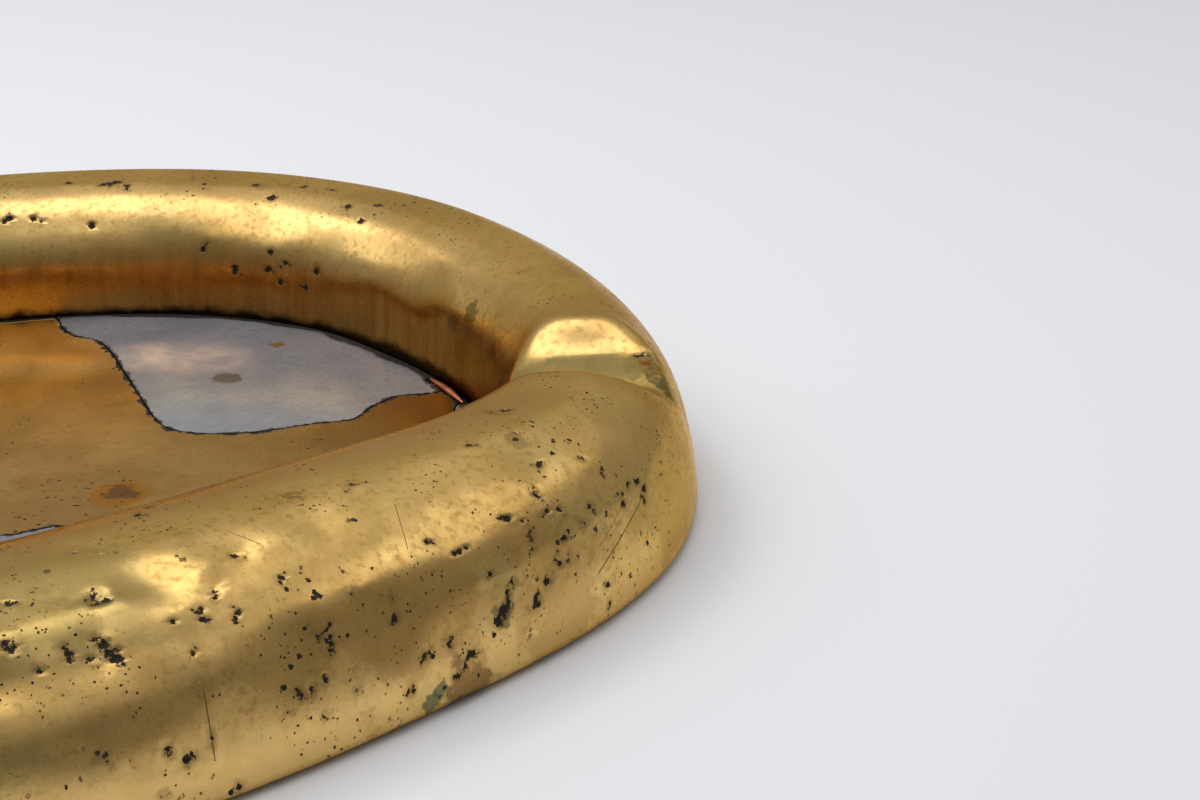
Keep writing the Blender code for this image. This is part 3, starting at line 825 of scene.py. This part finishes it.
def patina_and_painted_light(f, colour, across, height):
    """Painted floor reflections at the lip and inner wall, painted sheen low outside, a dark corner, the
    spots.
    """
    # Painted reflection of the floor along the front lip
    lip_reflection = f.maths("MULTIPLY", f.between(across, 22 * MM, 13 * MM), f.between(height, 19 * MM, 22 * MM))
    front = f.between(f.level("Y"), 0.0, -20 * MM, 0.3, 0.9)
    colour = f.mix(f.maths("MULTIPLY", lip_reflection, front), colour, LIP_FLOOR_REFLECTION)

    # The inner wall's brushed streaks, in a deep orange that is partly a painted reflection of the floor
    inner = f.maths("MULTIPLY", f.between(across, 9 * MM, 4 * MM), f.between(height, 19 * MM, 13 * MM))
    brushed = f.grain(500, 3, 0.6, f.stretched((1, 1, 0.05)))
    wall = f.mix(f.between(brushed, 0.3, 0.75), *INNER_WALL_AND_REFLECTION)
    colour = f.mix(f.maths("MULTIPLY", inner, 0.85), colour, wall)
    # A brighter painted reflection of the floor on the left part of the inner wall
    leftward = f.between(f.level("X"), 25 * MM, -5 * MM, 0, 0.75)
    floor_reflection = f.maths("MULTIPLY", leftward, f.between(height, 13 * MM, 10 * MM))
    colour = f.mix(f.maths("MULTIPLY", inner, floor_reflection), colour, WALL_FLOOR_REFLECTION)

    # Painted sheen low on the outer wall, where it mirrors the bright table
    low = f.between(height, 12 * MM, 5 * MM, 0, 0.85)
    colour = f.mix(f.maths("MULTIPLY", low, f.between(across, 12 * MM, 20 * MM)), colour, TABLE_SHEEN)
    # Darker low on the inner wall, where it meets the floor
    corner = f.maths("ADD", height, f.between(f.grain(180, 4, 0.6), 0.2, 0.8, -0.8 * MM, 0.8 * MM))
    corner = f.maths("MULTIPLY", f.between(corner, 7.8 * MM, 6.0 * MM), f.between(across, 6 * MM, 2 * MM))
    colour = f.mix(corner, colour, CORNER_DARK)
    # The listed spots: stains, and painted shade that dims highlights and darkens hollows
    for x, y, z, reach, ragged, strength, tone in SPOTS:
        spot = f.ragged_patch(Vector((x, y, z)) * MM, reach * MM, ragged)
        colour = f.mix(f.maths("MULTIPLY", spot, strength), colour, tone)
    return colour


def fine_specks(f, across):
    """Pinholes in patches, coarse and tiny, but none on the inner wall and in the clear places."""
    crowded = f.between(f.grain(70, 3, 0.6), 0.55, 0.60)
    coarse = f.maths("MULTIPLY", f.between(f.specks(1300, 0.13, 0.62, 0.5), 0.0, 0.06), crowded)
    crowded = f.between(f.grain(95, 3, 0.6), 0.50, 0.56)
    tiny = f.maths("MULTIPLY", f.between(f.specks(2900, 0.12, 0.62, 0.5), 0.0, 0.08), crowded)
    specks = f.maths("MULTIPLY", f.maths("MAXIMUM", coarse, tiny), f.between(across, 4 * MM, 7 * MM))
    for clear, reach in CLEAR:
        away = f.vector("DISTANCE", f.place, clear, "Value")
        specks = f.maths("MULTIPLY", specks, f.between(away, reach, reach + 4 * MM))
    return specks


def scratch_lines(f):
    """1 on any of the listed scratches."""
    lines = 0.0
    for start, end, width in SCRATCHES:
        start, end = Vector(start), Vector(end)
        facing = frame["nodes"]["rim"].closest_point_on_mesh((start + end) / 2 * MM)[2]
        lines = f.maths("MAXIMUM", f.scratch(start * MM, end * MM, width * MM, facing), lines)
    return lines


def aged_brass():
    """Cast brass with patina, painted reflections and painted shade, casting pits and scratches."""
    f = Finish("aged_cast_brass")
    shader = f.shader
    across = f.value_of("across")
    blotch = f.grain(150, 5, 0.6)
    fine = f.grain(1000, 4, 0.6)
    colour = patina_and_painted_light(f, brass_tones(f, blotch, fine), across, f.level())

    uneven = f.between(f.grain(2200, 4, 0.7), 0.25, 0.75, -0.22 * MM, 0.22 * MM)
    to_pit = f.maths("ADD", f.value_of("to_pit"), uneven)
    pit = f.maths("MAXIMUM", f.between(to_pit, 0.06 * MM, -0.02 * MM), fine_specks(f, across))
    scratches = scratch_lines(f)
    colour = f.mix(f.between(to_pit, 0.8 * MM, 0.05 * MM, 0, 0.45), colour, PIT_RIM)
    colour = f.mix(scratches, colour, SCRATCH)
    f.feed(shader.inputs["Base Color"], f.mix(pit, colour, PIT_BLACK))
    shader.inputs["Specular Tint"].default_value = (0.94, 0.74, 0.46, 1)
    shader.inputs["Specular IOR Level"].default_value = 0.25
    f.feed(shader.inputs["Metallic"], f.maths("SUBTRACT", 1.0, f.maths("MULTIPLY", pit, 0.9)))

    rough = f.maths("ADD", f.between(blotch, 0.3, 0.75, 0.20, 0.34), f.maths("MULTIPLY", pit, 0.4))
    rough = f.maths("ADD", rough, f.between(fine, 0.4, 0.8, 0, 0.12), clamp=True)
    f.feed(shader.inputs["Roughness"], rough)
    height = f.maths("MULTIPLY", fine, 0.02)
    height = f.maths("ADD", height, f.maths("MULTIPLY", f.grain(230, 3, 0.5), 0.22))
    height = f.maths("SUBTRACT", height, pit)
    height = f.maths("SUBTRACT", height, f.maths("MULTIPLY", scratches, 0.3))
    f.bumped(height, 0.2 * MM)
    return f.material


def seam_dirt(f, colour, width):
    """Dark, ragged dirt along the seams, and a dark ragged band in the corner of floor and wall."""
    uneven = f.between(f.grain(420, 5, 0.7), 0.3, 0.7, -width * 2.8, width * 2.2)
    seam = f.maths("ADD", f.value_of("to_seam"), uneven)
    seam = f.between(seam, width * 1.4, width * 0.3)
    # Darker along the corner where the floor meets the wall
    uneven = f.between(f.grain(130, 4, 0.6), 0.3, 0.7, -0.5 * MM, 0.5 * MM)
    wall = f.maths("ADD", f.value_of("to_wall"), uneven)
    wall = f.between(wall, 1.6 * MM, 0.9 * MM)
    dirt = f.maths("MAXIMUM", seam, wall)
    return f.mix(dirt, colour, (0.012, 0.011, 0.011)), dirt


def finish_floor(f, colour, mottle, height, distance, rough, dirt, metallic, gloss):
    """Sets a floor metal's shader; dirt is rough and hardly metallic."""
    f.feed(f.shader.inputs["Base Color"], colour)
    f.shader.inputs["Specular IOR Level"].default_value = gloss
    f.feed(f.shader.inputs["Metallic"], f.between(dirt, 0.0, 1.0, metallic, 0.1))
    rough = f.maths("ADD", f.between(mottle, 0.3, 0.7, *rough), f.maths("MULTIPLY", dirt, 0.3))
    f.feed(f.shader.inputs["Roughness"], rough)
    f.bumped(height, distance)


# The floor's brass, worn and browned; painted reflection of the back wall, painted darker band before it; its
# stains
FLOOR_BRASS, FLOOR_WORN = (0.50, 0.32, 0.125), (0.36, 0.22, 0.085)
FLOOR_BROWNED, FLOOR_GRAIN = (0.30, 0.175, 0.06), (0.21, 0.12, 0.042)
FLOOR_WALL_REFLECTION, FLOOR_MUTED_REFLECTION = (1.0, 0.72, 0.27), (0.25, 0.165, 0.06)
RIGHT_STAIN, ROUND_STAIN, STAIN_CORE = (0.20, 0.13, 0.05), (0.38, 0.15, 0.02), (0.11, 0.075, 0.045)
FLOOR_PIT = (0.02, 0.014, 0.01)


def floor_brass():
    """The floor's brass plate."""
    f = Finish("worn_floor_brass")
    mottle = f.grain(60, 4, 0.55)
    fine = f.grain(1100, 4, 0.6)
    to_wall = f.value_of("to_wall")
    backward = f.level("Y")
    colour = f.mix(f.between(mottle, 0.35, 0.65), FLOOR_BRASS, FLOOR_WORN)
    colour = f.mix(f.between(f.grain(230, 5, 0.65), 0.5, 0.75, 0, 0.6), colour, FLOOR_BROWNED)
    colour = f.mix(f.between(fine, 0.5, 0.75, 0, 0.5), colour, FLOOR_GRAIN)

    # Painted reflection of the back wall on the floor near it
    wall_reflection = f.between(to_wall, 20 * MM, 11 * MM, 0, 0.95)
    wall_reflection = f.maths("MULTIPLY", wall_reflection, f.between(backward, 30 * MM, 45 * MM))
    colour = f.mix(wall_reflection, colour, FLOOR_WALL_REFLECTION)
    # A painted darker band in front of it, muting the floor's reflection of the wall
    muted_reflection = f.between(to_wall, 50 * MM, 34 * MM, 0, 0.6)
    muted_reflection = f.maths("MULTIPLY", f.between(to_wall, 20 * MM, 26 * MM), muted_reflection)
    colour = f.mix(f.maths("MULTIPLY", muted_reflection, f.between(backward, 0.0, 20 * MM)), colour, FLOOR_MUTED_REFLECTION)

    right = f.ragged_patch((0.069, 0.025, FLOOR_TOP), 15 * MM)
    colour = f.mix(f.maths("MULTIPLY", right, 0.85), colour, RIGHT_STAIN)
    ragged_patch = f.ragged_patch((0.0292, -0.0016, FLOOR_TOP), 4.2 * MM)
    colour = f.mix(f.maths("MULTIPLY", ragged_patch, 0.7), colour, ROUND_STAIN)
    core = f.ragged_patch((0.0292, -0.0012, FLOOR_TOP), 2.6 * MM, 0.5)
    colour = f.mix(f.maths("MULTIPLY", core, 0.8), colour, STAIN_CORE)

    crowded = f.between(f.grain(60, 3, 0.6), 0.54, 0.60)
    pit = f.maths("MULTIPLY", f.between(f.specks(1900, 0.12, 0.58, 0.5), 0.0, 0.06), crowded)
    colour, dirt = seam_dirt(f, f.mix(pit, colour, FLOOR_PIT), 0.26 * MM)
    height = f.maths("SUBTRACT", f.maths("MULTIPLY", fine, 0.12), pit)
    height = f.maths("ADD", height, f.maths("MULTIPLY", f.grain(90, 2, 0.5), 0.6))
    f.shader.inputs["Specular Tint"].default_value = (0.92, 0.72, 0.5, 1)
    dirt = f.maths("MAXIMUM", dirt, pit)
    finish_floor(f, colour, mottle, height, 0.15 * MM, (0.22, 0.33), dirt, 1.0, 0.15)
    return f.material


# The white metal, its blotches and grain, its painted warm reflection of the back wall, and dark marks: in
# the right patch's corner, a stain on the back patch, and brown beside the wall
WHITE, WHITE_WORN = (0.20, 0.208, 0.232), (0.155, 0.163, 0.184)
WHITE_BLOTCH, WHITE_GRAIN = (0.172, 0.177, 0.196), (0.115, 0.115, 0.127)
WHITE_WALL_REFLECTION = (0.52, 0.40, 0.32)
WHITE_STAINS = (
    ((0.0775, 0.0085, FLOOR_TOP), 5 * MM, 0.5, (0.06, 0.055, 0.05)),
    ((0.0381, 0.0421, FLOOR_TOP), 2.4 * MM, 0.2, (0.05, 0.05, 0.055)),
    ((0.0442, 0.0561, FLOOR_TOP + 0.9 * MM), 1.3 * MM, 0.4, (0.13, 0.08, 0.035)),
)


def white_metal():
    """The white metal of the three patches."""
    f = Finish("white_metal_sheet")
    mottle = f.grain(80, 4, 0.6)
    fine = f.grain(1300, 4, 0.6)
    colour = f.mix(f.between(mottle, 0.35, 0.65), WHITE, WHITE_WORN)
    colour = f.mix(f.between(f.grain(260, 5, 0.6), 0.5, 0.75, 0, 0.5), colour, WHITE_BLOTCH)
    colour = f.mix(f.between(fine, 0.45, 0.7, 0, 0.5), colour, WHITE_GRAIN)
    # Painted warm reflection of the back wall on the patch near it
    away = f.vector("DISTANCE", f.stretched((1, 2, 1)), (0.030, 0.101, FLOOR_TOP), "Value")
    patchy = f.between(f.grain(170, 5, 0.6), 0.35, 0.65, 0.3, 0.9)
    colour = f.mix(f.maths("MULTIPLY", f.between(away, 16 * MM, 3 * MM), patchy), colour, WHITE_WALL_REFLECTION)
    for middle, reach, ragged, tone in WHITE_STAINS:
        colour = f.mix(f.ragged_patch(middle, reach, ragged), colour, tone)
    colour, dirt = seam_dirt(f, colour, 0.20 * MM)
    height = f.maths("MULTIPLY", f.grain(90, 2, 0.5), 0.35)
    height = f.maths("ADD", f.maths("MULTIPLY", fine, 0.1), height)
    finish_floor(f, colour, mottle, height, 0.12 * MM, (0.17, 0.28), dirt, 0.3, 0.5)
    return f.material


def copper():
    """The worn copper of the bead."""
    f = Finish("worn_copper")
    mottle = f.grain(500, 4, 0.6)
    colour = f.mix(f.between(mottle, 0.4, 0.7), (0.52, 0.20, 0.11), (0.26, 0.09, 0.045))
    f.feed(f.shader.inputs["Base Color"], colour)
    f.shader.inputs["Metallic"].default_value = 1.0
    f.shader.inputs["Roughness"].default_value = 0.36
    return f.material


def paper():
    """The pale paper that the tray stands on."""
    f = Finish("studio_paper")
    f.shader.inputs["Base Color"].default_value = (0.61, 0.615, 0.63, 1)
    f.shader.inputs["Roughness"].default_value = 0.75
    f.shader.inputs["Specular IOR Level"].default_value = 0.2
    return f.material


# The studio

# Brightness of the room, from the horizon to straight above
ROOM_LEVELS = ((0.0, 0.48), (0.34, 0.52), (0.6, 0.68), (0.82, 0.9), (1.0, 1.0))

# Where the camera stands, how far it looks down, in degrees, and its focal length in millimetres
CAMERA_PLACE = (0.09568, -0.33034, 0.1514)
CAMERA_DIP = 21.94
CAMERA_LENS = 77.64


def softbox(name, place, size, brightness, mirrored=True):
    """A soft light that faces the tray; mirrored says whether the metal shows its reflection."""
    light = bpy.data.lights.new(name, "AREA")
    light.shape = "RECTANGLE"
    light.size, light.size_y = size
    light.energy = brightness * math.pi * size[0] * size[1]
    lamp = bpy.data.objects.new(name, light)
    lamp.location = place
    lamp.rotation_euler = (-Vector(place)).to_track_quat("-Z", "Y").to_euler()
    lamp.visible_glossy = mirrored
    bpy.context.scene.collection.objects.link(lamp)


def room():
    """A grey room: lighter above, darker on the camera's side."""
    world = bpy.data.worlds.new("studio")
    bpy.context.scene.world = world
    world.use_nodes = True
    tree = world.node_tree
    back = tree.nodes["Background"]
    split = tree.nodes.new("ShaderNodeSeparateXYZ")
    tree.links.new(tree.nodes.new("ShaderNodeTexCoord").outputs["Generated"], split.inputs[0])
    ramp = tree.nodes.new("ShaderNodeValToRGB")
    tree.links.new(split.outputs["Z"], ramp.inputs[0])
    while len(ramp.color_ramp.elements) < len(ROOM_LEVELS):
        ramp.color_ramp.elements.new(0.5)
    for element, (place, level) in zip(ramp.color_ramp.elements, ROOM_LEVELS):
        element.position = place
        element.color = (level * 0.99, level, level * 1.02, 1)
    tree.links.new(ramp.outputs[0], back.inputs["Color"])
    darker = tree.nodes.new("ShaderNodeMapRange")
    tree.links.new(split.outputs["Y"], darker.inputs["Value"])
    darker.inputs["From Min"].default_value = -0.6
    darker.inputs["From Max"].default_value = 0.5
    darker.inputs["To Min"].default_value = 0.5
    darker.inputs["To Max"].default_value = 1.0
    tree.links.new(darker.outputs["Result"], back.inputs["Strength"])


def studio():
    """The paper, the room, the lights and the camera."""
    bpy.ops.object.select_all(action="DESELECT")
    bpy.ops.mesh.primitive_plane_add(size=6, location=(0, 0.5, 0))
    table = bpy.context.object
    table.name = "table_paper"
    table.data.materials.append(paper())
    room()
    softbox("softbox_above", (-0.125, -0.01, 0.62), (0.49, 0.80), 2.4)
    softbox("softbox_right", (0.62, 0.17, 0.566), (0.34, 0.32), 1.25)
    softbox("softbox_left", (-0.61, 0.164, 0.57), (0.45, 0.45), 1.5)
    softbox("softbox_behind", (-0.22, 0.24, 0.55), (0.16, 0.16), 9.0, False)

    lens = bpy.data.cameras.new("camera")
    lens.sensor_width = 36
    lens.lens = CAMERA_LENS
    lens.clip_start = 0.01
    camera = bpy.data.objects.new("camera", lens)
    camera.location = CAMERA_PLACE
    camera.rotation_euler = (math.radians(90 - CAMERA_DIP), 0, 0)
    bpy.context.scene.collection.objects.link(camera)
    bpy.context.scene.camera = camera
    bpy.context.scene.view_settings.view_transform = "Standard"
    bpy.context.scene.view_settings.look = "None"


def stand_in(piece, node, material):
    """Gives a piece its finish and puts it in the place of its CAD node."""
    piece.data.materials.append(material)
    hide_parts(node)
    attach(piece, "root")


stand_in(cast_rim(), "rim", aged_brass())
stand_in(sheet("floor_plate", "floor_sheet"), "floor_plate", floor_brass())
grey = white_metal()
for side in ("back", "front", "right"):
    node = "white_metal_patch_" + side
    stand_in(sheet(node, "white_metal_" + side), node, grey)
bead = copy_of("copper_bead", "copper_bead_cast")
refined(bead)
bpy.ops.object.shade_smooth_by_angle(angle=math.radians(60))
stand_in(bead, "copper_bead", copper())
studio()
